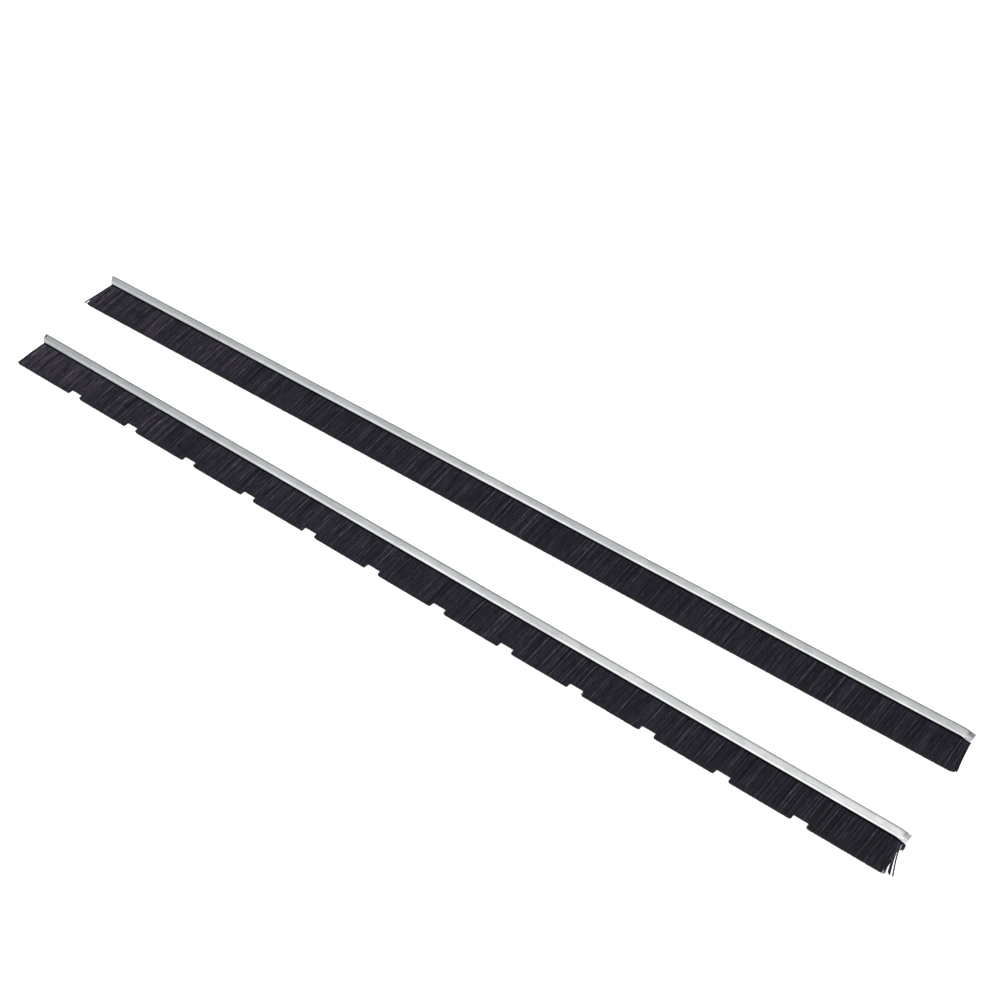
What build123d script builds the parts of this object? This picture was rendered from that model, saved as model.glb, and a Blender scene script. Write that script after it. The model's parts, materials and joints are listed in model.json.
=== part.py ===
from build123d import *
import os
from math import acos, atan2, cos, degrees, hypot, sin, tan

os.makedirs("parts", exist_ok=True)

# A pair of metal-backed strip brushes used as a door sweep. Each strip is a folded galvanised
# channel that grips a doubled pack of nylon filaments over a core wire. The rear strip has a
# plain trimmed edge, and the front one has a row of shallow notches cut in its edge.
# Each strip is drawn in its own frame: X along it from its left end, Y from the mouth of the
# channel towards its back, Z up from the surface that it lies on. Millimetres and degrees.

# Driving dimensions
STRIP_LENGTH = 1000.0
TRIM = 35.5                     # filaments standing out of the channel
CHANNEL_DEPTH = 10.5
CHANNEL_HEIGHT = 9.4
SHEET = 0.8
PACK = 5.0                      # filament pack between the lips
TIP_TOP = 4.4                   # the filaments droop a little, and their cut tips stand
TIP_BOTTOM = 1.0                # between these heights above the surface
END_SPLAY = 3.5                 # the last tips lean this far past each end of the channel
WIRE_DIAMETER = 2.8
NOTCH_COUNT = 12
NOTCH_WIDTH = 15.0
NOTCH_DEPTH = 5.4
NOTCH_PITCH = 76.4
FIRST_NOTCH = 77.3              # left end of the channel to the first notch's middle
FRONT_PLACE = (8.7, -106.6)     # front strip's left mouth corner, seen from the rear strip's
FRONT_TURN = -1.02              # the front strip lies slightly turned in the plane

# Channel section, measured from its mid-height
MID = CHANNEL_HEIGHT / 2
LIP_LENGTH = 1.2                # flat lip that presses on the pack
SHOULDER = 2.8                  # mouth to the bend where the flange turns level
LIP_EDGE_RADIUS = 0.25
LIP_BEND = 0.6
SHOULDER_BEND = 1.6
BACK_BEND = 2.8

# Channel ends
CRIMP_LENGTH = 12.0             # pinched stretch at the right end
CRIMP_MIDDLE = 0.45             # place of the half-pinched section along it
PRESS_LENGTH = 8.0              # lightly pressed stretch at the left end
CUT_LEAD = 6.8                  # the left end is sheared askew and runs out to this at the back
CUT_SPARE = 1.0                 # metal beyond the shear line before it is cut
UNDERCUT = 3.2                  # the right end's lower edge is sheared this far short of its top
NICK_RADIUS = 1.1               # nick that the shear left in the front strip's flange
NICK_DEPTH = 7.2                # mouth to the middle of the nick

# Fits inside the channel
PACK_GAP = 0.03
WIRE_GAP = 0.02
INNER_SETBACK = 0.4             # wire and clamped filaments stop this far inside each end
WIRE_DEPTH = CHANNEL_DEPTH - MID

# The free filaments turn about a line just outside the lips
FLEX_DEPTH = -3.6
ROOT_RADIUS = PACK / 2


class Pinch:
    """How far the channel is squeezed at one place along the strip."""

    def __init__(self, mouth=0.0, lip_gap=PACK / 2, front=MID, back=MID, depth=CHANNEL_DEPTH):
        self.mouth = mouth
        self.lip_gap = lip_gap
        self.front = front
        self.back = back
        self.depth = depth


OPEN = Pinch()
PRESSED = Pinch(mouth=-0.3, lip_gap=2.2, front=4.2, back=4.4)
HALF_CRIMPED = Pinch(mouth=-0.4, lip_gap=2.0, front=3.8, back=4.3)
CRIMPED = Pinch(mouth=-1.0, lip_gap=1.3, front=2.8, back=3.7, depth=10.2)


def flange_corners(pinch, inset):
    """Corners of the upper half from lip to back, on a line inset from the sheet's outside."""
    lip_top = pinch.lip_gap + SHEET
    rise = atan2(pinch.front - lip_top, SHOULDER - LIP_LENGTH)
    shift = inset * tan(rise / 2)
    return [
        (pinch.mouth, lip_top - inset),
        (pinch.mouth + LIP_LENGTH + shift, lip_top - inset),
        (SHOULDER + shift, pinch.front - inset),
        (pinch.depth - inset, pinch.back - inset),
    ]


def mirrored(corners):
    return [(y, -z) for y, z in reversed(corners)]


def section_face(x, corners, radii):
    """Face across the strip at x, from corners given as depth and height from mid-height."""
    plane = Plane(origin=(x, 0, MID), x_dir=(0, 1, 0), z_dir=(1, 0, 0))
    return plane * make_face(FilletPolyline(*corners, radius=radii, close=True))


def channel_section(x, pinch):
    outer = flange_corners(pinch, 0)
    inner = flange_corners(pinch, SHEET)
    outer_radii = [LIP_EDGE_RADIUS, LIP_BEND, SHOULDER_BEND, BACK_BEND]
    inner_radii = [LIP_EDGE_RADIUS, LIP_BEND + SHEET, SHOULDER_BEND - SHEET, BACK_BEND - SHEET]
    outer_loop = outer + mirrored(outer)
    inner_loop = inner + mirrored(inner)
    corners = outer_loop + inner_loop[::-1]
    radii = outer_radii + outer_radii[::-1] + inner_radii + inner_radii[::-1]
    return section_face(x, corners, radii)


def clamped_section(x, pinch):
    """Inside of the channel, which the clamped filaments fill."""
    upper = flange_corners(pinch, SHEET + PACK_GAP)
    radii = [0, LIP_BEND + SHEET, SHOULDER_BEND - SHEET, BACK_BEND - SHEET]
    return section_face(x, upper + mirrored(upper), radii + radii[::-1])


def along_strip(section, setback):
    """Solid with the given section, pressed at its left end and crimped at its right end."""
    start = setback - CUT_LEAD - CUT_SPARE
    end = STRIP_LENGTH - setback
    left = PRESS_LENGTH
    right = STRIP_LENGTH - CRIMP_LENGTH
    middle = right + CRIMP_LENGTH * CRIMP_MIDDLE
    run = extrude(section(left, OPEN), amount=right - left, dir=(1, 0, 0))
    press = loft([section(start, PRESSED), section(left, OPEN)], ruled=True)
    half = loft([section(right, OPEN), section(middle, HALF_CRIMPED)], ruled=True)
    crimp = loft([section(middle, HALF_CRIMPED), section(end, CRIMPED)], ruled=True)
    return sheared((run + press + half + crimp).solid(), setback)


def sheared(body, setback):
    """Shear the left end from the mouth's corner out to the back, and undercut the right end."""
    askew = degrees(atan2(CUT_LEAD, CHANNEL_DEPTH))
    slope = degrees(atan2(UNDERCUT, 2 * CRIMPED.back))
    left_waste = Box(40, 80, 40, align=(Align.MAX, Align.CENTER, Align.CENTER))
    right_waste = Box(40, 80, 40, align=(Align.MIN, Align.CENTER, Align.CENTER))
    body -= Pos(setback, 0, MID) * Rot(0, 0, askew) * left_waste
    body -= Pos(STRIP_LENGTH - setback, 0, MID + CRIMPED.back) * Rot(0, slope, 0) * right_waste
    return body.solid()


def channel(nicked):
    body = along_strip(channel_section, 0)
    if nicked:
        middle = -CUT_LEAD * NICK_DEPTH / CHANNEL_DEPTH
        upper = (Align.CENTER, Align.CENTER, Align.MIN)
        body -= Pos(middle, NICK_DEPTH, MID) * Cylinder(NICK_RADIUS, CHANNEL_HEIGHT, align=upper)
    return body.solid()


def core_rod(radius, setback):
    """Round rod along the core wire's line."""
    start = setback - CUT_LEAD
    length = STRIP_LENGTH - setback - start
    rod = Pos(start, WIRE_DEPTH, MID) * Rot(0, 90, 0) * Cylinder(
        radius, length, align=(Align.CENTER, Align.CENTER, Align.MIN))
    return sheared(rod, setback)


def clamped_filaments():
    wire_hole = core_rod(WIRE_DIAMETER / 2 + WIRE_GAP, -CUT_SPARE)
    return (along_strip(clamped_section, INNER_SETBACK) - wire_hole).solid()


def root_tangent(depth, height, side):
    """Point where a line from a tip corner touches the round root, above (+1) or below (-1)."""
    reach = hypot(depth - FLEX_DEPTH, height)
    angle = atan2(height, depth - FLEX_DEPTH) - side * acos(ROOT_RADIUS / reach)
    return (FLEX_DEPTH + ROOT_RADIUS * cos(angle), ROOT_RADIUS * sin(angle))


def filament_row():
    """Free filaments: a wedge from a round root to the cut tips, leaning out at both ends."""
    top = (-TRIM, TIP_TOP - MID)
    bottom = (-TRIM, TIP_BOTTOM - MID)
    upper_root = root_tangent(*top, 1)
    lower_root = root_tangent(*bottom, -1)
    rear = (FLEX_DEPTH + ROOT_RADIUS, 0)
    outline = Polyline(upper_root, top, bottom, lower_root)
    outline += ThreePointArc(lower_root, rear, upper_root)
    spare = 2 * END_SPLAY
    plane = Plane(origin=(-spare, 0, MID), x_dir=(0, 1, 0), z_dir=(1, 0, 0))
    wedge = extrude(plane * make_face(outline), amount=STRIP_LENGTH + 2 * spare, dir=(1, 0, 0))
    plan = Polyline(
        (0, 0), (-END_SPLAY, -TRIM), (STRIP_LENGTH + END_SPLAY, -TRIM), (STRIP_LENGTH, 0), (0, 0))
    return wedge & extrude(make_face(plan), amount=2 * CHANNEL_HEIGHT)


def notch_middles():
    return [FIRST_NOTCH + NOTCH_PITCH * index for index in range(NOTCH_COUNT)]


def slice_box(left, right, front):
    """Box between two places along the strip, from a depth near the tips back past the roots."""
    box = Box(right - left, CHANNEL_DEPTH - front, 4 * CHANNEL_HEIGHT,
              align=(Align.MIN, Align.MIN, Align.CENTER))
    return Pos(left, front, MID) * box


def long_tufts():
    """Full-length filaments between and beside the notches, one solid for each stretch."""
    half = NOTCH_WIDTH / 2
    edges = [-2 * END_SPLAY]
    for middle in notch_middles():
        edges += [middle - half, middle + half]
    edges.append(STRIP_LENGTH + 2 * END_SPLAY)
    row = filament_row()
    stretches = zip(edges[0::2], edges[1::2])
    return [(row & slice_box(left, right, -2 * TRIM)).solid() for left, right in stretches]


def short_tufts():
    """Filaments cut short at the notches, one solid for each notch."""
    half = NOTCH_WIDTH / 2
    front = NOTCH_DEPTH - TRIM
    row = filament_row()
    return [(row & slice_box(x - half, x + half, front)).solid() for x in notch_middles()]


def strip_pieces(name, notched):
    pieces = {
        f"{name}_channel": [channel(nicked=notched)],
        f"{name}_core_wire": [core_rod(WIRE_DIAMETER / 2, INNER_SETBACK)],
        f"{name}_clamped_filaments": [clamped_filaments()],
    }
    if notched:
        pieces[f"{name}_long_filaments"] = long_tufts()
        pieces[f"{name}_short_filaments"] = short_tufts()
    else:
        pieces[f"{name}_free_filaments"] = [filament_row().solid()]
    return pieces


def placed(pieces, location):
    return {node: [location * solid for solid in solids] for node, solids in pieces.items()}


front_location = Pos(*FRONT_PLACE, 0) * Rot(0, 0, FRONT_TURN)
nodes = placed(strip_pieces("plain", notched=False), Pos(0, 0, 0))
nodes.update(placed(strip_pieces("notched", notched=True), front_location))

# The row's origin is under the middle of the whole pair, on the surface that it lies on
bounds = Compound([solid for solids in nodes.values() for solid in solids]).bounding_box()
centre = bounds.center()
print("row origin in the rear strip's frame:", round(centre.X, 4), round(centre.Y, 4))
nodes = placed(nodes, Pos(-centre.X, -centre.Y, 0))

for node, solids in nodes.items():
    shape = solids[0] if len(solids) == 1 else Compound(solids)
    export_step(shape, f"parts/{node}.step")
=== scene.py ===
import json
import math

import bpy
import numpy as np
from mathutils import Matrix, Vector

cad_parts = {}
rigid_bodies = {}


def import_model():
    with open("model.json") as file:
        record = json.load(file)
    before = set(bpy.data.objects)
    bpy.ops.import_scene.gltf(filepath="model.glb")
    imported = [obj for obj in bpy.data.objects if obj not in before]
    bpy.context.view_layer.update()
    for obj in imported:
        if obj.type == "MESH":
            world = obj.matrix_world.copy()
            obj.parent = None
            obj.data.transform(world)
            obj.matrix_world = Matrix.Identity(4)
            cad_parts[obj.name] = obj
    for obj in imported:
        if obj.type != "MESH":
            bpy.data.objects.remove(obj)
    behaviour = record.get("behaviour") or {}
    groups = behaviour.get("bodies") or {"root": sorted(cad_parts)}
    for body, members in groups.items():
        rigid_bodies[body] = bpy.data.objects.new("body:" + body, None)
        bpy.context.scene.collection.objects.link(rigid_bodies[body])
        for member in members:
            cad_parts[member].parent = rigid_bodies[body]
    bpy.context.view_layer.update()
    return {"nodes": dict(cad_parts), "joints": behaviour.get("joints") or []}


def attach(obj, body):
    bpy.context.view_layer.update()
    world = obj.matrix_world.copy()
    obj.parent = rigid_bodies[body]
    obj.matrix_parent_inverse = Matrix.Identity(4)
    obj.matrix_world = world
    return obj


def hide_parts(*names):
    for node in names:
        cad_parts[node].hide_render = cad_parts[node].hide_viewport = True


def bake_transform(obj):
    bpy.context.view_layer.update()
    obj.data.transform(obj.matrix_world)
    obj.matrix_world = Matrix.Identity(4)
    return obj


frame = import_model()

# Looks of a door sweep: a pair of metal-backed strip brushes. Each strip is worked out in its
# own frame, with X along it from its left end, Y from the mouth of the channel to its back and
# Z up from the surface that it lies on, and is placed by its flex joint. Units are metres.

MM = 0.001

# Strip, as in the CAD model
LENGTH = 1000 * MM
TRIM = 35.5 * MM
DEPTH = 10.5 * MM
MID = 4.7 * MM
SHEET = 0.8 * MM
TIP_TOP = -0.3 * MM           # the cut tips' upper and lower limits, from mid-height
TIP_BOTTOM = -3.7 * MM
FLEX_DEPTH = -3.6 * MM        # the line that the free filaments turn about
WIRE_RADIUS = 1.4 * MM
WIRE_DEPTH = 5.8 * MM
CUT_LEAD = 6.8 * MM
CRIMP_LENGTH = 12 * MM
PRESS_LENGTH = 8 * MM
UNDERCUT = 3.2 * MM           # the right end's lower edge is cut this far short of its top
SETBACK = 0.4 * MM            # the core wire stops this far inside each end

NOTCH_COUNT = 12
NOTCH_WIDTH = 15 * MM
NOTCH_DEPTH = 5.4 * MM
NOTCH_PITCH = 76.4 * MM
FIRST_NOTCH = 77.3 * MM

# Marks that the shear and the crimping tool left in the sheet
SHEAR_FADE = 22 * MM          # the askew cut draws the sheet along within this far of the end
SHEAR_CURVE = 0.85            # the cut is straight at 1, and bulges a little below that
SHEAR_OVERRUN = 1.07          # the back runs out past the lead by this ratio
UNDERCUT_FADE = 16 * MM
DENT_DEPTH = 0.48 * MM        # as deep as the sheet can go without touching the filaments inside
FOLD_DEPTH = 0.08 * MM
HOOK = 1.1 * MM               # the right end's back corner is cut back by this much
NICK_RADIUS = 1.6 * MM
NICK_DEPTH = 6.6 * MM
NICK_STRETCH = 2.2            # it is longer along the strip than across by this ratio
LIP_HEIGHT = 2.9 * MM         # sheet beyond this height from mid-height is outside the mouth

# Filaments
FILAMENTS = 9600              # on each strip
FILAMENT_RADIUS = 0.24 * MM
FILAMENT_SIDES = 3
TOP_SHARE = 0.46              # of the row's filaments
BOTTOM_SHARE = 0.20
LOOSE_RADIUS = 0.30 * MM      # strays and lint
LOOSE_SIDES = 5
LINT_COUNT = 9
LOOP_RADIUS = 0.15 * MM       # filaments round the core wire, at the open ends
LOOP_SIDES = 5
LOOP_LAYERS = 10              # from the core wire out to the sheet
LOOP_COPIES = 3               # one behind the other
PIECES_PER_ROW = 2
LAYER_DROP = 0.55 * MM        # the cut edge leans back this much in each half of its height
BENDS = (7.0, 13.0, 20.0, 27.0)   # mm outside the lips, where every filament has a ring
RINGS = len(BENDS) + 5        # along each filament

SEED = 20


# ---------------------------------------------------------------- strip frame

class Strip:
    """Where a strip lies, the bodies that its pieces ride on, and how it was cut and trimmed."""

    def __init__(self, name, joint, notched):
        self.name = name
        self.notched = notched
        self.body = joint["parent"]
        self.row = joint["child"]
        self.ear = (1.2 if notched else 0.6) * MM           # rounding of the left end's back corner
        self.right_lean = (5.0 if notched else 5.6) * MM    # of the last tips at the right end
        self.snapped = (3.4 if notched else 0) * MM         # stretch of broken filaments there
        self.under_end = (4.0 if notched else 0.6) * MM     # the under layer stops short of the end
        self.left_drop = (1.5 if notched else 0.4) * MM     # of the trimmed edge's left corner
        # The trimmed edge's right corner: how far past the end it lies, its radius and its drop
        self.corner = np.array((1.2, 5.0, 3.2) if notched else (5.0, 8.0, 4.2)) * MM
        along = -Vector(joint["axis"]).normalized()
        back = Vector((0, 0, 1)).cross(along)
        self.origin = Vector(joint["pos_m"]) - along * LENGTH / 2 - back * FLEX_DEPTH
        self.origin.z = 0
        self.matrix = Matrix((
            (along.x, back.x, 0, self.origin.x),
            (along.y, back.y, 0, self.origin.y),
            (0, 0, 1, 0),
            (0, 0, 0, 1),
        ))

    def place(self, points):
        """Strip coordinates to the whole object's frame."""
        turn = np.array(self.matrix.to_3x3())
        return points @ turn.T + np.array(self.origin)


def joint_named(name):
    return next(joint for joint in frame["joints"] if joint["name"] == name)


plain = Strip("plain", joint_named("plain_filament_flex"), notched=False)
notched = Strip("notched", joint_named("notched_filament_flex"), notched=True)


# ---------------------------------------------------------------- small helpers

def smoothstep(t):
    """0 up to t = 0, 1 from t = 1 on, and a smooth rise between."""
    t = np.clip(t, 0, 1)
    return t * t * (3 - 2 * t)


def wander(rng, x, spacing, amount):
    """Smooth random curve over the strip, with a new random value at each spacing."""
    count = int((LENGTH + 0.1) / spacing) + 3
    values = rng.normal(0, amount, count)
    place = (x + 0.05) / spacing
    index = np.clip(np.floor(place).astype(int), 0, count - 2)
    part = smoothstep(place - index)
    return values[index] * (1 - part) + values[index + 1] * part


def make_mesh(name, points, faces, material, uv=None, tone=None, sharp_angle=None):
    """Smooth-shaded object from points in the whole object's frame, with uv and tone for each."""
    mesh = bpy.data.meshes.new(name)
    mesh.from_pydata(points.tolist(), [], faces)
    mesh.materials.append(material)
    loops = np.empty(len(mesh.loops), np.int32)
    mesh.loops.foreach_get("vertex_index", loops)
    if uv is not None:
        layer = mesh.uv_layers.new(name="strip")
        layer.data.foreach_set("uv", uv[loops].astype(np.float32).ravel())
    if tone is not None:
        attribute = mesh.attributes.new("tone", "FLOAT", "POINT")
        attribute.data.foreach_set("value", tone.astype(np.float32))
    mesh.shade_smooth()
    if sharp_angle is not None:
        mesh.set_sharp_from_angle(angle=math.radians(sharp_angle))
    piece = bpy.data.objects.new(name, mesh)
    bpy.context.scene.collection.objects.link(piece)
    return piece


def tube_faces(rings, size):
    """Quads of an open tube whose points are numbered ring by ring."""
    faces = []
    for ring in range(rings - 1):
        near, far = ring * size, (ring + 1) * size
        for k in range(size):
            after = (k + 1) % size
            faces.append((near + k, near + after, far + after, far + k))
    return faces


# ---------------------------------------------------------------- materials

class Nodes:
    """Short way to build a node material around its Principled shader."""

    def __init__(self, name):
        self.material = bpy.data.materials.new(name)
        self.material.use_nodes = True
        self.tree = self.material.node_tree
        self.shader = self.tree.nodes["Principled BSDF"]

    def add(self, kind, **settings):
        """New node; a setting is one of its inputs where it has one of that name."""
        node = self.tree.nodes.new(kind)
        for key, value in settings.items():
            if key in node.inputs:
                node.inputs[key].default_value = value
            else:
                setattr(node, key, value)
        return node

    def link(self, source, target):
        self.tree.links.new(source, target)

    def strip_uv(self):
        """Metres along the strip and round its section."""
        return self.add("ShaderNodeUVMap", uv_map="strip").outputs["UV"]

    def mapped(self, coordinates, scale):
        """Coordinates stretched, so a texture of scale 1 has this many features to the metre."""
        mapping = self.add("ShaderNodeMapping")
        mapping.inputs["Scale"].default_value = scale
        self.link(coordinates, mapping.inputs["Vector"])
        return mapping.outputs["Vector"]

    def noise(self, vector, detail, scale=1.0, roughness=0.55):
        node = self.add("ShaderNodeTexNoise", Scale=scale, Detail=detail, Roughness=roughness)
        self.link(vector, node.inputs["Vector"])
        return node.outputs["Fac"]

    def ramp(self, factor, stops):
        node = self.add("ShaderNodeValToRGB")
        elements = node.color_ramp.elements
        while len(elements) < len(stops):
            elements.new(0.5)
        for element, (place, colour) in zip(elements, stops):
            element.position = place
            element.color = (*colour, 1)
        self.link(factor, node.inputs["Fac"])
        return node.outputs["Color"]

    def product(self, first, second):
        """Two colours multiplied."""
        node = self.add("ShaderNodeMix", data_type="RGBA", blend_type="MULTIPLY")
        node.inputs["Factor"].default_value = 1.0
        self.link(first, node.inputs["A"])
        self.link(second, node.inputs["B"])
        return node.outputs["Result"]

    def span(self, factor, low, high):
        """0 to 1 stretched to low to high."""
        node = self.add("ShaderNodeMapRange")
        node.inputs["To Min"].default_value = low
        node.inputs["To Max"].default_value = high
        self.link(factor, node.inputs["Value"])
        return node.outputs["Result"]

    def total(self, first, second):
        """Two values added."""
        node = self.add("ShaderNodeMath", operation="ADD")
        self.link(first, node.inputs[0])
        self.link(second, node.inputs[1])
        return node.outputs["Value"]

    def tone(self):
        """The mesh's tone at each point: its own shade, and painted light and shade."""
        node = self.add("ShaderNodeAttribute", attribute_name="tone", attribute_type="GEOMETRY")
        return node.outputs["Fac"]

    def bump(self, height, strength, distance):
        node = self.add("ShaderNodeBump", Strength=strength, Distance=distance)
        self.link(height, node.inputs["Height"])
        self.link(node.outputs["Normal"], self.shader.inputs["Normal"])

    def set(self, **values):
        for key, value in values.items():
            self.shader.inputs[key.replace("_", " ")].default_value = value


def galvanised_material():
    """Zinc on thin strip: faint spangle and rolling lines along it, with a painted highlight on the
    lips and painted shade on the bends, crease, dent and inside.
    """
    n = Nodes("galvanised_sheet")
    uv = n.strip_uv()
    spangle = n.add("ShaderNodeTexVoronoi", feature="F1", Scale=190.0)
    n.link(n.mapped(uv, (0.7, 1, 1)), spangle.inputs["Vector"])
    flake = n.add("ShaderNodeSeparateColor")
    n.link(spangle.outputs["Color"], flake.inputs["Color"])
    rolling = n.noise(n.mapped(uv, (22, 2300, 1)), detail=4.0)
    patches = n.noise(n.mapped(uv, (17, 90, 1)), detail=2.0)
    base = n.ramp(patches, [(0.3, (0.535, 0.551, 0.560)), (0.7, (0.685, 0.686, 0.687))])
    grain = n.ramp(flake.outputs["Red"], [(0.0, (0.90, 0.90, 0.905)), (1.0, (1.0, 1.0, 1.0))])
    lines = n.ramp(rolling, [(0.25, (0.84, 0.85, 0.86)), (0.7, (1.0, 1.0, 1.0))])
    colour = n.product(n.product(base, grain), lines)
    # Painted light: tone 0 brightens the sheet as a painted highlight, tone 1 darkens it as painted
    # shade.
    painted_light = n.ramp(n.tone(), [
        (0.0, (1.55, 1.53, 1.51)),
        (0.3, (1.0, 1.0, 1.0)),
        (1.0, (0.30, 0.31, 0.32)),
    ])
    n.link(n.product(colour, painted_light), n.shader.inputs["Base Color"])
    rough = n.total(n.span(flake.outputs["Green"], 0.34, 0.46), n.span(rolling, -0.05, 0.07))
    n.link(rough, n.shader.inputs["Roughness"])
    n.bump(rolling, 0.3, 0.00005)
    n.set(Metallic=0.85)
    return n.material


def wire_material():
    """Drawn steel wire: fine lines along it."""
    n = Nodes("drawn_wire")
    uv = n.strip_uv()
    drawn = n.noise(n.mapped(uv, (40, 5200, 1)), detail=3.0)
    colour = n.ramp(drawn, [(0.3, (0.40, 0.41, 0.42)), (0.7, (0.60, 0.60, 0.60))])
    n.link(colour, n.shader.inputs["Base Color"])
    n.link(n.span(drawn, 0.32, 0.5), n.shader.inputs["Roughness"])
    n.bump(drawn, 0.3, 0.00003)
    n.set(Metallic=0.9)
    return n.material


def filament_material():
    """Black nylon filament: each one has its own tone, with painted sheen in streaks where clumps
    would catch the light.
    """
    n = Nodes("nylon_filament")
    coordinates = n.add("ShaderNodeTexCoord").outputs["Object"]
    streak = n.noise(n.mapped(coordinates, (1700, 115, 40)), detail=1.0, roughness=0.6)
    mottle = n.noise(n.mapped(coordinates, (1900, 480, 900)), detail=1.0)
    # The tone holds each filament's own tone together with painted shade at roots and tips and a
    # painted gradient along the strip.
    dye_and_painted_shade = n.ramp(n.tone(), [
        (0.0, (0.0008, 0.0007, 0.0012)),
        (0.45, (0.0150, 0.0126, 0.0262)),
        (0.8, (0.041, 0.0345, 0.056)),
        (1.0, (0.125, 0.108, 0.135)),
    ])
    # Painted sheen: lighter and darker streaks where clumps would catch the light.
    clump = n.ramp(streak, [
        (0.38, (0.5, 0.49, 0.51)),
        (0.50, (0.97, 0.96, 0.98)),
        (0.62, (1.5, 1.47, 1.52)),
    ])
    fleck = n.ramp(mottle, [(0.3, (0.55, 0.55, 0.57)), (0.7, (1.4, 1.38, 1.38))])
    n.link(n.product(n.product(dye_and_painted_shade, clump), fleck), n.shader.inputs["Base Color"])
    n.link(n.span(streak, 0.62, 0.42), n.shader.inputs["Roughness"])
    n.bump(mottle, 0.12, 0.00003)
    n.set(Specular_IOR_Level=0.22)
    return n.material


def floor_material():
    """White light table, so the floor stays pale right up to the object."""
    n = Nodes("studio_floor")
    coordinates = n.add("ShaderNodeTexCoord").outputs["Object"]
    soft = n.noise(coordinates, detail=2.0, scale=3.0)
    colour = n.ramp(soft, [(0.3, (0.84, 0.84, 0.84)), (0.7, (0.86, 0.86, 0.86))])
    n.link(colour, n.shader.inputs["Base Color"])
    n.link(colour, n.shader.inputs["Emission Color"])
    n.set(Roughness=0.9, Emission_Strength=0.95)
    return n.material


galvanised = galvanised_material()
drawn_wire = wire_material()
nylon = filament_material()


# ---------------------------------------------------------------- channel

# How far the sheet is squeezed, as in the CAD model: mouth, lip gap, front and back heights, depth
OPEN = np.array((0.0, 2.5, 4.7, 4.7, 10.5)) * MM
PRESSED = np.array((-0.3, 2.2, 4.2, 4.4, 10.5)) * MM
CRIMPED = np.array((-1.0, 1.3, 2.8, 3.7, 10.2)) * MM
LIP_LENGTH = 1.2 * MM
SHOULDER = 2.8 * MM
BEND_RADII = np.array((0.25, 0.6, 1.6, 2.8)) * MM   # lip edge, lip bend, shoulder, back
BEND_STEPS = (4, 5, 6, 12)
FLAT_STEP = 0.6 * MM


def pinch_at(x):
    """Squeeze of the section at a place along the strip."""
    left = smoothstep((PRESS_LENGTH - x) / (PRESS_LENGTH + CUT_LEAD))
    right = smoothstep((x - LENGTH + CRIMP_LENGTH) / CRIMP_LENGTH)
    return OPEN + (PRESSED - OPEN) * left + (CRIMPED - OPEN) * right


def flange_corners(pinch, inset):
    """Corners of the upper half from lip to back, on a line inset from the sheet's outside."""
    mouth, lip_gap, front, back, depth = pinch
    lip_top = lip_gap + SHEET
    rise = math.atan2(front - lip_top, SHOULDER - LIP_LENGTH)
    shift = inset * math.tan(rise / 2)
    return [
        (mouth, lip_top - inset),
        (mouth + LIP_LENGTH + shift, lip_top - inset),
        (SHOULDER + shift, front - inset),
        (depth - inset, back - inset),
    ]


def bent_outline(corners, radii, steps):
    """One arc for each corner of a closed outline, in so many steps."""
    count = len(corners)
    arcs = []
    for index in range(count):
        before = Vector(corners[index - 1])
        corner = Vector(corners[index])
        after = Vector(corners[(index + 1) % count])
        to_before = (before - corner).normalized()
        to_after = (after - corner).normalized()
        half = to_before.angle(to_after) / 2
        reach = radii[index] / math.tan(half)
        centre = corner + (to_before + to_after).normalized() * (radii[index] / math.sin(half))
        first = corner + to_before * reach - centre
        last = corner + to_after * reach - centre
        sweep = first.angle_signed(last)
        turns = [sweep * k / steps[index] for k in range(steps[index] + 1)]
        arcs.append([centre + first @ Matrix.Rotation(turn, 2) for turn in turns])
    return arcs


def section_counts():
    """Points on each flat of the section, fixed by its open shape so that all sections match."""
    arcs = bent_outline(*section_bends(OPEN))
    counts = []
    for index, arc in enumerate(arcs):
        gap = (arcs[(index + 1) % len(arcs)][0] - arc[-1]).length
        counts.append(max(1, round(gap / FLAT_STEP)))
    return counts


def mirrored(corners):
    return [(y, -z) for y, z in reversed(corners)]


def section_bends(pinch):
    """Corners, bend radii and arc steps of the whole section, outside first."""
    outer = flange_corners(pinch, 0)
    inner = flange_corners(pinch, SHEET)
    inner_radii = BEND_RADII + np.array((0, SHEET, -SHEET, -SHEET))
    corners = outer + mirrored(outer) + (inner + mirrored(inner))[::-1]
    radii = [*BEND_RADII, *BEND_RADII[::-1], *inner_radii, *inner_radii[::-1]]
    steps = [*BEND_STEPS, *BEND_STEPS[::-1]] * 2
    return corners, radii, steps


def section_points(pinch, counts):
    """Points round the section, as depth and height from mid-height."""
    arcs = bent_outline(*section_bends(pinch))
    points = []
    for index, arc in enumerate(arcs):
        following = arcs[(index + 1) % len(arcs)][0]
        points += arc
        points += [arc[-1].lerp(following, k / counts[index]) for k in range(1, counts[index])]
    return np.array([tuple(point) for point in points])


def stations(start, end, fine_left, fine_right, fine, coarse):
    """Places along the strip: close together at both ends and wide apart between."""
    left = np.arange(start, start + fine_left, fine)
    middle = np.linspace(start + fine_left, end - fine_right,
                         round((end - start - fine_left - fine_right) / coarse))
    right = np.linspace(end - fine_right, end, round(fine_right / fine) + 1)
    return np.concatenate((left, middle[:-1], right))


def shear(x, depth):
    """Move the left end along the askew cut, fading out along the strip."""
    fade = smoothstep(1 - x / SHEAR_FADE)
    share = np.clip(depth / DEPTH, 0, None) ** SHEAR_CURVE
    return x - fade * CUT_LEAD * SHEAR_OVERRUN * share


def undercut(x, z):
    """Move the right end's lower side back along the slanting cut, fading out along the strip."""
    below = (CRIMPED[3] - z) / (2 * CRIMPED[3])
    fade = smoothstep(1 - (LENGTH - x) / UNDERCUT_FADE)
    return x - fade * UNDERCUT * np.clip(below, -0.1, 1.1)


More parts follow.
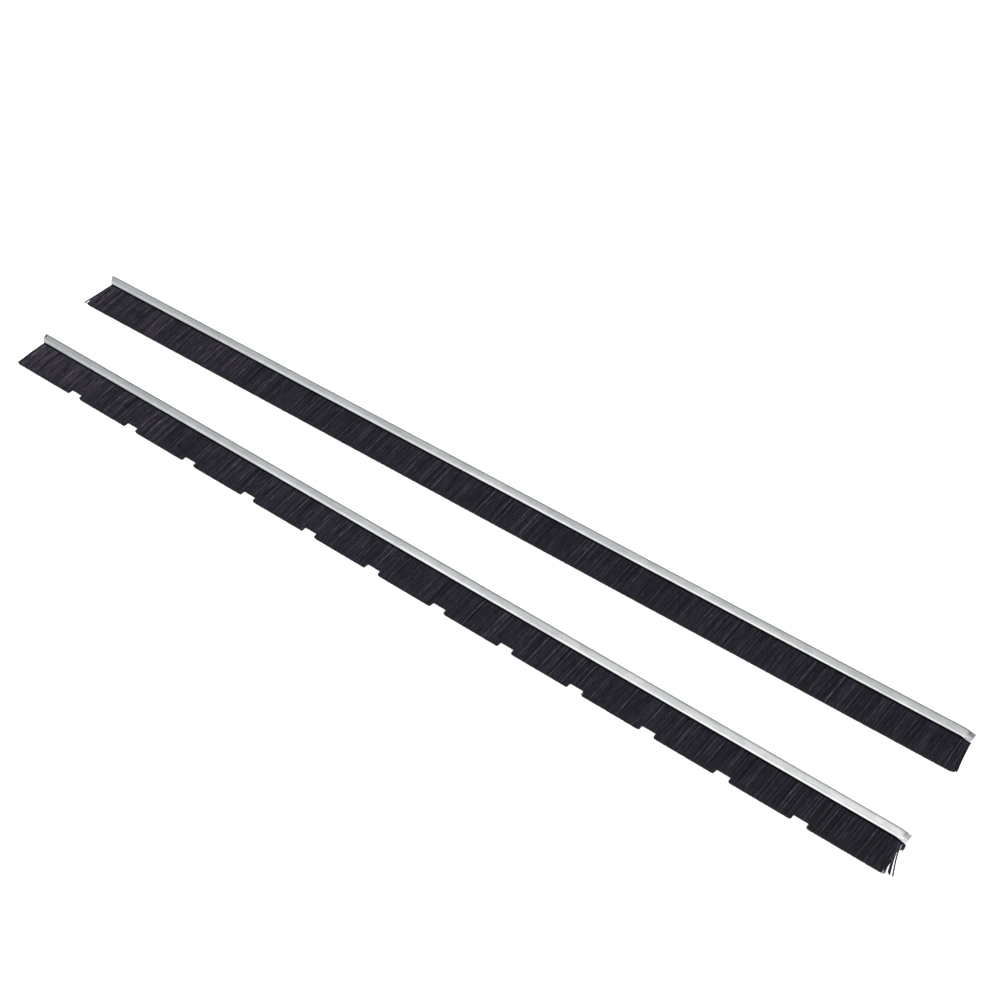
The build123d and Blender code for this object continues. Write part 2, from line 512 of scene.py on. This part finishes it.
def crimp_marks(x, y):
    """Depth of the crimping tool's dent in each flange; the back bend stays standing beside it."""
    dent = smoothstep((x - LENGTH + 8.5 * MM) / (3.2 * MM))
    across = np.exp(-((y - 6.1 * MM) / (2.3 * MM)) ** 2)
    fold = np.exp(-((x - LENGTH + 9.5 * MM) / (1.8 * MM)) ** 2)
    fold = fold * smoothstep((y - 3 * MM) / (3 * MM))
    return dent * across * DENT_DEPTH + fold * FOLD_DEPTH


def sheet_painted_light(strip, x, y, z):
    """Painted light on the rolled sheet: 0 for a painted highlight on the lips, 0.3 plain, up to 1
    for painted shade.
    """
    outside = np.abs(z) > LIP_HEIGHT
    # Painted light: the sheet gets lighter or darker along the strip.
    if strip.notched:
        along = 0.05 - 0.20 * x / LENGTH
    else:
        along = 0.10 * smoothstep(4 * x / LENGTH - 3)
    # Painted shade, standing in for a dark reflection, on the back bend; less of it at the right
    # end.
    back = smoothstep((y - 6.0 * MM) / (3.4 * MM))
    back = back * (1 - 0.8 * smoothstep((x - LENGTH + 5 * MM) / (3 * MM)))
    # Painted shade on the crimp dent.
    dent_shade = crimp_marks(x, y) / DENT_DEPTH
    # Painted highlight on the lips, brighter towards the right end.
    painted_highlight = 0.08 + 0.19 * smoothstep(2.2 * x / LENGTH - 0.1)
    lip = smoothstep((1.8 * MM - y) / (0.4 * MM)) * outside
    # Painted shade along the crease at the shoulder.
    crease = np.exp(-((y - 2.7 * MM) / (0.4 * MM)) ** 2) * outside
    # Painted shade inside the channel, between the lips.
    inside = (np.abs(z) < LIP_HEIGHT) & (y > 0.3 * MM)
    painted_light = 0.7 * back + 0.12 * crease + 0.3 * inside + 0.6 * dent_shade - painted_highlight * lip
    return np.clip(0.3 + along + painted_light, 0, 1)


def channel(strip, rng):
    """Rolled sheet swept along the strip, with its sheared ends, crimp, dent and nick."""
    counts = section_counts()
    places = stations(0, LENGTH, 14 * MM, 18 * MM, 0.5 * MM, 7 * MM)
    rings = np.array([section_points(pinch_at(x), counts) for x in places])
    size = rings.shape[1]
    x = np.repeat(places[:, None], size, axis=1)
    y, z = rings[..., 0], rings[..., 1]
    upper = z > 0
    # Painted light and shade on the sheet, carried in the tone attribute.
    painted_light_tone = sheet_painted_light(strip, x, y, z)
    z = z - np.sign(z) * crimp_marks(x, y)
    waver = wander(rng, places, 90 * MM, 0.03 * MM)[:, None]
    z = z + np.where(upper, waver, -waver)
    ear = np.clip((y - 8.0 * MM) / (2.5 * MM), 0, 1) ** 3 * strip.ear
    hook = np.clip((y - 8.6 * MM) / (1.9 * MM), 0, 1) ** 2 * HOOK
    x = undercut(shear(x, y), z)
    x += ear * smoothstep(1 - x / (9 * MM)) - hook * smoothstep(1 - (LENGTH - x) / (6 * MM))
    if strip.notched:
        bite = np.sqrt(np.clip(NICK_RADIUS ** 2 - (y - NICK_DEPTH) ** 2, 0, None))
        near_start = np.clip(1 - (x - x[0:1]) / (4 * MM), 0, 1)
        x = x + np.where(upper, bite * NICK_STRETCH * near_start, 0)
    points = np.stack((x, y, z + MID), axis=-1).reshape(-1, 3)
    steps_round = np.linalg.norm(np.diff(rings[len(places) // 2], axis=0), axis=1)
    girth = np.concatenate(([0], np.cumsum(steps_round)))
    uv = np.stack((x, np.repeat(girth[None], len(places), axis=0)), axis=-1).reshape(-1, 2)
    faces = tube_faces(len(places), size)
    last = (len(places) - 1) * size
    for k in range(size // 2 - 1):
        near, far = k, size - 1 - k
        faces.append((near, far, far - 1, near + 1))
        faces.append((last + near, last + near + 1, last + far - 1, last + far))
    piece = make_mesh(f"{strip.name}_channel_skin", strip.place(points), faces, galvanised,
                      uv=uv, tone=painted_light_tone.reshape(-1), sharp_angle=38)
    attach(piece, strip.body)
    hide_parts(f"{strip.name}_channel")


# ---------------------------------------------------------------- core wire and clamped loops

def core_wire(strip):
    """Drawn wire with its sheared ends slightly spread."""
    sides = 20
    places = stations(SETBACK, LENGTH - SETBACK, 3 * MM, 3 * MM, 0.5 * MM, 20 * MM)
    angles = np.arange(sides) * 2 * math.pi / sides
    spread = 1 - 0.14 * np.exp(-((places - places[0]) / (0.35 * MM)))
    spread -= 0.14 * np.exp(-((places[-1] - places) / (0.35 * MM)))
    radius = WIRE_RADIUS * spread
    y = WIRE_DEPTH + radius[:, None] * np.cos(angles)[None]
    z = radius[:, None] * np.sin(angles)[None]
    x = undercut(shear(np.repeat(places[:, None], sides, axis=1), y), z)
    points = np.stack((x, y, z + MID), axis=-1).reshape(-1, 3)
    around = np.repeat((angles * WIRE_RADIUS)[None], len(places), axis=0)
    uv = np.stack((x, around), axis=-1).reshape(-1, 2)
    faces = tube_faces(len(places), sides)
    faces.append(tuple(range(sides))[::-1])
    faces.append(tuple((len(places) - 1) * sides + k for k in range(sides)))
    piece = make_mesh(f"{strip.name}_drawn_wire", strip.place(points), faces, drawn_wire,
                      uv=uv, sharp_angle=40)
    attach(piece, strip.body)
    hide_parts(f"{strip.name}_core_wire")


def tubes(paths, radii, sides, turn):
    """Closed prisms along paths: paths is filament x ring x 3, radii filament x ring."""
    count, rings, _ = paths.shape
    tangent = np.gradient(paths, axis=1)
    tangent /= np.linalg.norm(tangent, axis=2, keepdims=True)
    side = np.cross(tangent, np.array((1.0, 0.02, 0.03)))
    side /= np.linalg.norm(side, axis=2, keepdims=True)
    other = np.cross(tangent, side)
    angles = turn[:, None] + np.arange(sides)[None] * 2 * math.pi / sides
    offset = (side[:, :, None] * np.cos(angles)[:, None, :, None]
              + other[:, :, None] * np.sin(angles)[:, None, :, None])
    points = paths[:, :, None] + offset * radii[:, :, None, None]
    base = (np.arange(count) * rings * sides)[:, None, None]
    ring = (np.arange(rings - 1) * sides)[None, :, None]
    k = np.arange(sides)[None, None]
    after = (k + 1) % sides
    quads = np.stack([base + ring + k, base + ring + after,
                      base + ring + sides + after, base + ring + sides + k], axis=-1).reshape(-1, 4)
    start = (base[:, 0] + np.arange(sides)[None])[:, ::-1]
    end = base[:, 0] + (rings - 1) * sides + np.arange(sides)[None]
    faces = quads.tolist() + start.tolist() + end.tolist()
    return points.reshape(-1, 3), faces


def clamped_loops(strip, rng):
    """Filaments doubled round the core wire, at both open ends of the channel."""
    paths, tones = [], []
    for end_x, pinch in ((0.0, pinch_at(0.0)), (LENGTH, pinch_at(LENGTH))):
        squeeze = (pinch[2] - SHEET) / (OPEN[2] - SHEET)
        for layer in range(LOOP_LAYERS):
            ring_radius = WIRE_RADIUS + (0.3 + 0.235 * layer) * MM
            for copy in range(LOOP_COPIES):
                swing = np.linspace(-0.5, 0.5, 9) * math.pi
                y_round = WIRE_DEPTH + ring_radius * np.cos(swing) + rng.normal(0, 0.05) * MM
                z_round = ring_radius * np.sin(swing) * squeeze
                lip = (0.12 + 0.88 * layer / (LOOP_LAYERS - 1)) * pinch[1] * 0.94
                mouth, neck = pinch[0] + 0.2 * MM, 2.6 * MM
                waist = (lip + abs(z_round[0])) / 2
                y = np.concatenate(([mouth, neck], y_round, [neck, mouth]))
                z = np.concatenate(([-lip, -waist], z_round, [waist, lip]))
                into = 1 if end_x == 0 else -1
                x = np.full(len(y), end_x + into * (0.25 + 0.42 * copy + rng.uniform(0, 0.2)) * MM)
                x += rng.normal(0, 0.05 * MM, len(y))
                paths.append(np.stack((undercut(shear(x, y), z), y, z + MID), axis=-1))
                tones.append(rng.beta(2, 3))
    paths = np.array(paths)
    radii = np.full(paths.shape[:2], LOOP_RADIUS)
    points, faces = tubes(paths, radii, LOOP_SIDES, rng.uniform(0, 6, len(paths)))
    tone = np.repeat(np.array(tones), paths.shape[1] * LOOP_SIDES)
    piece = make_mesh(f"{strip.name}_end_loops", strip.place(points), faces, nylon, tone=tone)
    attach(piece, strip.body)


# ---------------------------------------------------------------- free filaments

def trimmed_length(strip, x):
    """Length at a place along the tips, shorter at the notches and rounded off at every corner."""
    length = np.full_like(x, TRIM)
    if strip.notched:
        for index in range(NOTCH_COUNT):
            outside = np.abs(x - FIRST_NOTCH - NOTCH_PITCH * index) - NOTCH_WIDTH / 2
            corner = np.clip(1 - outside / (1.2 * MM), 0, 1)
            length -= np.where(outside < 0, NOTCH_DEPTH, 1.1 * MM * corner ** 2)
    corner, radius, drop = strip.corner
    length -= drop * np.clip((x - LENGTH - corner) / radius + 1, 0, 1) ** 2.5
    length -= strip.left_drop * np.clip(1 - (x + 3 * MM) / (4 * MM), 0, 1) ** 2
    return length


def end_lean(strip, x):
    """How far the tips at each end lean outwards."""
    left = -3.0 * MM * np.exp(-x / (9 * MM))
    right = strip.right_lean * np.exp(-(LENGTH - x) / (8 * MM))
    return left + right + (0.8 - 1.6 * x / LENGTH) * MM


def filament_paths(strip, rng, x, layer, lean, scale=1.0, bow=None):
    """Centre lines of filaments from inside the lips to the trimmed edge, and their painted shade.

    x is each root's place along the strip, layer its height in the pack from -1 to 1, lean how
    far its tip moves along the strip, scale its share of the full length and bow its sideways
    curve.
    """
    reach = np.array((-1.3, 0.5, 1.6, *BENDS, 34.4, 35.5)) * MM / TRIM
    fullness = np.array((0.50, 0.56, 0.86, 1.0, 1.0, 1.0, 1.0, 1.0, 1.0))
    # Painted shade: dark at the roots under the lips, and dark at the cut tips.
    painted_shade = np.array((0.0, 0.05, 1.0, 1.0, 1.0, 1.0, 0.95, 0.9, 0.0))
    tip_x = x + lean
    length = trimmed_length(strip, tip_x) + rng.normal(0, 0.03 * MM, len(x))
    length -= (1 - layer) * LAYER_DROP
    length = length * scale
    lean = lean * scale
    pinch = np.array([pinch_at(place) for place in x])
    mouth, gap = pinch[:, 0], pinch[:, 1] - FILAMENT_RADIUS
    tip_z = (TIP_BOTTOM + TIP_TOP) / 2 + layer * ((TIP_TOP - TIP_BOTTOM) / 2 - FILAMENT_RADIUS)
    tip_z += rng.normal(0, 0.12 * MM, len(x)) * (1 - np.abs(layer))
    if bow is None:
        bow = rng.normal(0, 0.22 * MM, len(x))
    lift = rng.normal(0, 0.10 * MM, len(x))
    run = np.clip(reach, 0, 1)[None]
    arch = np.sin(run * math.pi)
    y = mouth[:, None] * (1 - run) - reach[None] * length[:, None]
    px = x[:, None] + lean[:, None] * run ** 1.3 + bow[:, None] * arch
    root_z = (layer * gap)[:, None] * fullness[None]
    z = root_z * (1 - run) + tip_z[:, None] * run + (0.45 * MM * layer + lift)[:, None] * arch
    return np.stack((px, y, z + MID), axis=-1), painted_shade


def filament_tones(strip, rng, x):
    """Tone of each filament, in fine streaks, with painted light that fades along the strip."""
    fine = wander(rng, x, 0.7 * MM, 0.25)
    fine -= np.convolve(fine, np.full(45, 1 / 45), "same")
    waves = fine + wander(rng, x, 3.5 * MM, 0.03) + wander(rng, x, 70 * MM, 0.02)
    # Painted light: lighter towards the left end and fading along the strip.
    fade = 0.20 * (0.45 - x / LENGTH) + (0.11 if strip.notched else 0.05) * np.exp(-x / (130 * MM))
    tone = np.clip(0.48 + fade + waves + rng.normal(0, 0.17, len(x)), 0.03, 0.95)
    pale = rng.random(len(x)) < 0.004
    tone[pale] = rng.uniform(0.85, 1.0, pale.sum())
    return tone


def filament_row(strip, rng):
    """All the free filaments of a strip, dense in the top and bottom layers that are seen."""
    kind = rng.random(FILAMENTS)
    layer = rng.uniform(-0.85, 0.85, FILAMENTS)
    layer = np.where(kind < TOP_SHARE, rng.uniform(0.82, 1.0, FILAMENTS), layer)
    layer = np.where(kind > 1 - BOTTOM_SHARE, rng.uniform(-1.0, -0.82, FILAMENTS), layer)
    x = np.sort(rng.uniform(0.3 * MM, LENGTH - 0.3 * MM, FILAMENTS))
    clump = wander(rng, x, 3 * MM, 0.20 * MM) + wander(rng, x, 15 * MM, 0.25 * MM)
    under = wander(rng, x, 6 * MM, 0.6 * MM)
    lean = np.where(layer > 0, clump, under) + rng.normal(0, 0.36 * MM, FILAMENTS)
    lean += end_lean(strip, x)
    tone = filament_tones(strip, rng, x)
    scale = 1.0
    if strip.snapped:
        broken = x > LENGTH - strip.snapped
        scale = np.where(broken, rng.uniform(0.10, 0.22, FILAMENTS), 1.0)
    paths, painted_shade = filament_paths(strip, rng, x, layer, lean, scale)
    radii = np.full(paths.shape[:2], FILAMENT_RADIUS) * rng.uniform(0.85, 1.1, FILAMENTS)[:, None]
    turn = rng.uniform(0, 6, FILAMENTS)
    pieces = []
    share = FILAMENTS // PIECES_PER_ROW
    for part in range(PIECES_PER_ROW):
        own = slice(part * share, (part + 1) * share)
        points, faces = tubes(paths[own], radii[own], FILAMENT_SIDES, turn[own])
        tones = np.repeat((tone[own, None] * painted_shade[None]).reshape(-1), FILAMENT_SIDES)
        name = f"{strip.name}_filaments_{('left', 'right')[part]}"
        pieces.append(make_mesh(name, strip.place(points), faces, nylon, tone=tones))
    return pieces


def under_layer(strip, rng):
    """Filaments behind the outer ones: a ridged body, darkened with painted shade, that ends short
    of the cut tips.
    """
    step = 0.7 * MM
    x = np.arange(0.6 * MM, LENGTH - strip.under_end, step)
    reach = np.array((-0.6, 2.4, *BENDS, 34.2, 35.3)) * MM / TRIM
    lean = end_lean(strip, x) * 0.8 + wander(rng, x, 6 * MM, 0.3 * MM)
    tips = x + lean
    length = trimmed_length(strip, tips)
    length = np.minimum(length, trimmed_length(strip, tips - step))
    length = np.minimum(length, trimmed_length(strip, tips + step))
    gap = np.array([pinch_at(place)[1] for place in x])
    run = np.clip(reach, 0, 1)[None]
    sheets = []
    for side in (1, -1):
        ridge = 0.86 + rng.normal(0, 0.03, len(x))
        tip = (TIP_BOTTOM + TIP_TOP) / 2 + side * ridge * (TIP_TOP - TIP_BOTTOM) / 2
        root = side * gap * 0.5
        z = root[:, None] * (1 - run) + tip[:, None] * run + 0.3 * MM * side * np.sin(run * math.pi)
        y = -reach[None] * (length - (1 - side) * LAYER_DROP)[:, None]
        px = x[:, None] + lean[:, None] * run ** 1.3
        sheets.append(np.stack((px, y, z + MID), axis=-1))
    rings = len(reach)
    count = len(x)
    points = np.concatenate([sheet.reshape(-1, 3) for sheet in sheets])
    lower = count * rings
    faces = []
    for i in range(count - 1):
        for k in range(rings - 1):
            a, b = i * rings + k, (i + 1) * rings + k
            faces.append((a, a + 1, b + 1, b))
            faces.append((lower + a, lower + b, lower + b + 1, lower + a + 1))
        a, b = i * rings, (i + 1) * rings
        faces.append((a, b, lower + b, lower + a))
        a, b = a + rings - 1, b + rings - 1
        faces.append((a, lower + a, lower + b, b))
    last = (count - 1) * rings
    for k in range(rings - 1):
        faces.append((k, lower + k, lower + k + 1, k + 1))
        faces.append((last + k, last + k + 1, lower + last + k + 1, lower + last + k))
    # Painted shade: the body is darker than the outer filaments, and darkens to black at the cut
    # tips.
    painted_shade = np.array((1, 1, 1, 1, 1, 1, 0.8, 0))
    tones = np.clip(0.16 + rng.normal(0, 0.07, count), 0, 0.35)[:, None] * painted_shade
    tone = np.tile(tones.reshape(-1), 2)
    return make_mesh(f"{strip.name}_under_layer", strip.place(points), faces, nylon, tone=tone)


# Bunches of strays at a corner: place of the root from the channel's end and lean of the tip,
# both in mm along the strip, then layer, share of the full length, and shade
RIGHT_STRAYS = (
    (-6.6, 5.9, 0.5, 0.99, 0.2),
    (-5.9, 7.7, 0.9, 1.01, 0.75),
    (-5.4, 8.8, 0.3, 1.05, 0.4),
    (-4.3, 10.7, 0.6, 1.02, 0.1),
)
LEFT_STRAYS = (
    (0.9, -5.0, 0.7, 1.01, 0.1),
    (0.9, -4.4, 0.3, 0.86, 0.3),
    (1.0, -4.1, 0.5, 0.72, 0.2),
)


def strays(strip, rng):
    """Loose filaments in flat bunches that lean out past one corner of the strip."""
    end, bunches = (LENGTH, RIGHT_STRAYS) if strip.notched else (0, LEFT_STRAYS)
    root, lean, layer, reach, shades = np.array(bunches).T
    root, lean = end + root * MM, lean * MM
    bunch = np.linspace(-0.38, 0.38, 4) * MM
    copies = len(bunch)
    count = len(lean) * copies
    x = np.repeat(root, copies) + np.tile(bunch, len(lean))
    leans = np.repeat(lean, copies) + np.tile(bunch * 0.7, len(lean))
    leans = leans + rng.normal(0, 0.06 * MM, count)
    scale = np.repeat(reach, copies) + rng.normal(0, 0.016, count)
    layers = np.repeat(layer, copies) + rng.normal(0, 0.05, count)
    bow = np.repeat(rng.normal(0, 0.2 * MM, len(lean)), copies)
    paths, painted_shade = filament_paths(strip, rng, x, layers, leans / scale, scale, bow)
    tones = np.repeat(shades, copies) * rng.uniform(0.8, 1.0, count)
    return paths, tones[:, None] * np.clip(painted_shade, 0.2, 1)[None]


def lint(strip, rng):
    """A few trimmed ends of filament lying on the row."""
    count = LINT_COUNT
    x = rng.uniform(0.03, 0.97, count) * LENGTH
    y = -rng.uniform(0.08, 0.8, count) * TRIM
    drop = 2.35 * MM + (2.35 * MM - TIP_TOP) * y / TRIM
    turn = rng.uniform(0, math.pi, count)
    half = rng.uniform(0.4, 1.1, count) * MM
    steps = np.linspace(-1, 1, RINGS)
    px = x[:, None] + steps[None] * (half * np.cos(turn))[:, None]
    py = y[:, None] + steps[None] * (half * np.sin(turn))[:, None]
    pz = np.repeat((drop + 0.55 * MM + MID)[:, None], RINGS, axis=1)
    return np.stack((px, py, pz), axis=-1), np.full((count, RINGS), 0.97)


def loose_filaments(strip, rng):
    """Lint and strays, as one piece."""
    groups = [lint(strip, rng), strays(strip, rng)]
    paths = np.concatenate([group[0] for group in groups])
    tones = np.concatenate([group[1] for group in groups])
    radii = np.full(paths.shape[:2], LOOSE_RADIUS)
    points, faces = tubes(paths, radii, LOOSE_SIDES, rng.uniform(0, 6, len(paths)))
    tone = np.repeat(tones.reshape(-1), LOOSE_SIDES)
    return make_mesh(f"{strip.name}_loose_filaments", strip.place(points), faces, nylon, tone=tone)


def hang_on_lips(pieces, nodes):
    """Bakes each piece's transform and hides the CAD rows that the pieces stand for."""
    for piece in pieces:
        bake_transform(piece)
    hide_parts(*nodes)


def build_strip(strip, seed, nodes):
    """Every piece of one strip, whose rows stand for the given CAD nodes."""
    rng = np.random.default_rng(seed)
    channel(strip, rng)
    core_wire(strip)
    clamped_loops(strip, rng)
    rows = filament_row(strip, rng)
    rows.append(under_layer(strip, rng))
    rows.append(loose_filaments(strip, rng))
    hang_on_lips(rows, nodes)
    # The clamped pack has no tone, so it renders darker than the filaments' own black: a painted
    # shadow line between the lips and the row.
    clamped = frame["nodes"][f"{strip.name}_clamped_filaments"]
    for material_slot in clamped.material_slots:
        material_slot.material = nylon


build_strip(plain, SEED, ["plain_free_filaments"])
build_strip(notched, SEED + 1, ["notched_long_filaments", "notched_short_filaments"])


# ---------------------------------------------------------------- floor, camera and light

def studio_floor():
    """Wide round sheet with a gentle sweep up at its far rim."""
    flat, rise, sides = 16.0, 3.0, 96
    profile = [(flat * k / 6, 0.0) for k in range(1, 7)]
    profile += [(flat + rise * math.sin(a), rise * (1 - math.cos(a)))
                for a in np.linspace(0, math.pi / 2, 12)[1:]]
    turns = [2 * math.pi * k / sides for k in range(sides)]
    points = [(0.0, 0.0, 0.0)]
    for radius, z in profile:
        points += [(radius * math.cos(turn), radius * math.sin(turn), z) for turn in turns]
    faces = [(0, 1 + k, 1 + (k + 1) % sides) for k in range(sides)]
    for ring in range(len(profile) - 1):
        for k in range(sides):
            near, after = 1 + ring * sides + k, 1 + ring * sides + (k + 1) % sides
            faces.append((near, near + sides, after + sides, after))
    floor = make_mesh("studio_floor", np.array(points), faces, floor_material())


def look_from(azimuth, elevation):
    """Right, up and back directions of a camera at these angles in degrees."""
    a, e = math.radians(azimuth), math.radians(elevation)
    back = Vector((math.sin(a) * math.cos(e), -math.cos(a) * math.cos(e), math.sin(e)))
    right = Vector((math.cos(a), math.sin(a), 0))
    return right, back.cross(right), back


def main_camera():
    """Looks down along the pair from its front right."""
    azimuth, elevation, distance = 36.9, 45.39, 2.107
    right, up, back = look_from(azimuth, elevation)
    target = plain.matrix @ Vector((0.5089, -0.0098, MID + OPEN[1]))
    data = bpy.data.cameras.new("camera")
    data.lens = 81.2
    data.sensor_width = 36
    data.clip_start, data.clip_end = 0.05, 50
    camera = bpy.data.objects.new("camera", data)
    place = target + back * distance
    camera.matrix_world = Matrix((
        (right.x, up.x, back.x, place.x),
        (right.y, up.y, back.y, place.y),
        (right.z, up.z, back.z, place.z),
        (0, 0, 0, 1),
    ))
    bpy.context.scene.collection.objects.link(camera)
    bpy.context.scene.camera = camera


def soft_light(name, place, aim, size, power, colour):
    data = bpy.data.lights.new(name, "AREA")
    data.shape = "RECTANGLE"
    data.size, data.size_y = size
    data.energy = power
    data.color = colour
    lamp = bpy.data.objects.new(name, data)
    lamp.location = place
    lamp.rotation_mode = "QUATERNION"
    lamp.rotation_quaternion = (Vector(aim) - Vector(place)).to_track_quat("-Z", "Y")
    bpy.context.scene.collection.objects.link(lamp)


def studio_world():
    """Soft surround, brighter and warmer to the right and overhead, cooler to the left."""
    world = bpy.data.worlds.new("studio")
    world.use_nodes = True
    tree = world.node_tree
    background = tree.nodes["Background"]
    direction = tree.nodes.new("ShaderNodeTexCoord").outputs["Generated"]
    along = tree.nodes.new("ShaderNodeVectorMath")
    along.operation = "DOT_PRODUCT"
    along.inputs[1].default_value = (0.55, 0, 0.83)
    tree.links.new(direction, along.inputs[0])
    ramp = tree.nodes.new("ShaderNodeValToRGB")
    ramp.color_ramp.elements[0].position = 0.12
    ramp.color_ramp.elements[0].color = (0.50, 0.55, 0.56, 1)
    ramp.color_ramp.elements[1].position = 0.62
    ramp.color_ramp.elements[1].color = (1.0, 0.99, 0.97, 1)
    tree.links.new(along.outputs["Value"], ramp.inputs["Fac"])
    tree.links.new(ramp.outputs["Color"], background.inputs["Color"])
    background.inputs["Strength"].default_value = 1.0
    bpy.context.scene.world = world


def lighting():
    soft_light("overhead", (0.2, -0.1, 2.3), (0, 0, 0), (2.6, 1.8), 12, (1.0, 1.0, 1.0))
    soft_light("front_left", (-1.6, -1.5, 1.5), (0, 0, 0), (1.6, 1.4), 5, (0.95, 0.98, 1.0))
    soft_light("right", (1.5, -0.5, 0.8), (0.45, -0.1, 0), (0.9, 0.7), 6, (1.0, 0.94, 0.86))
    studio_world()
    bpy.context.scene.view_settings.view_transform = "Standard"


studio_floor()
main_camera()
lighting()
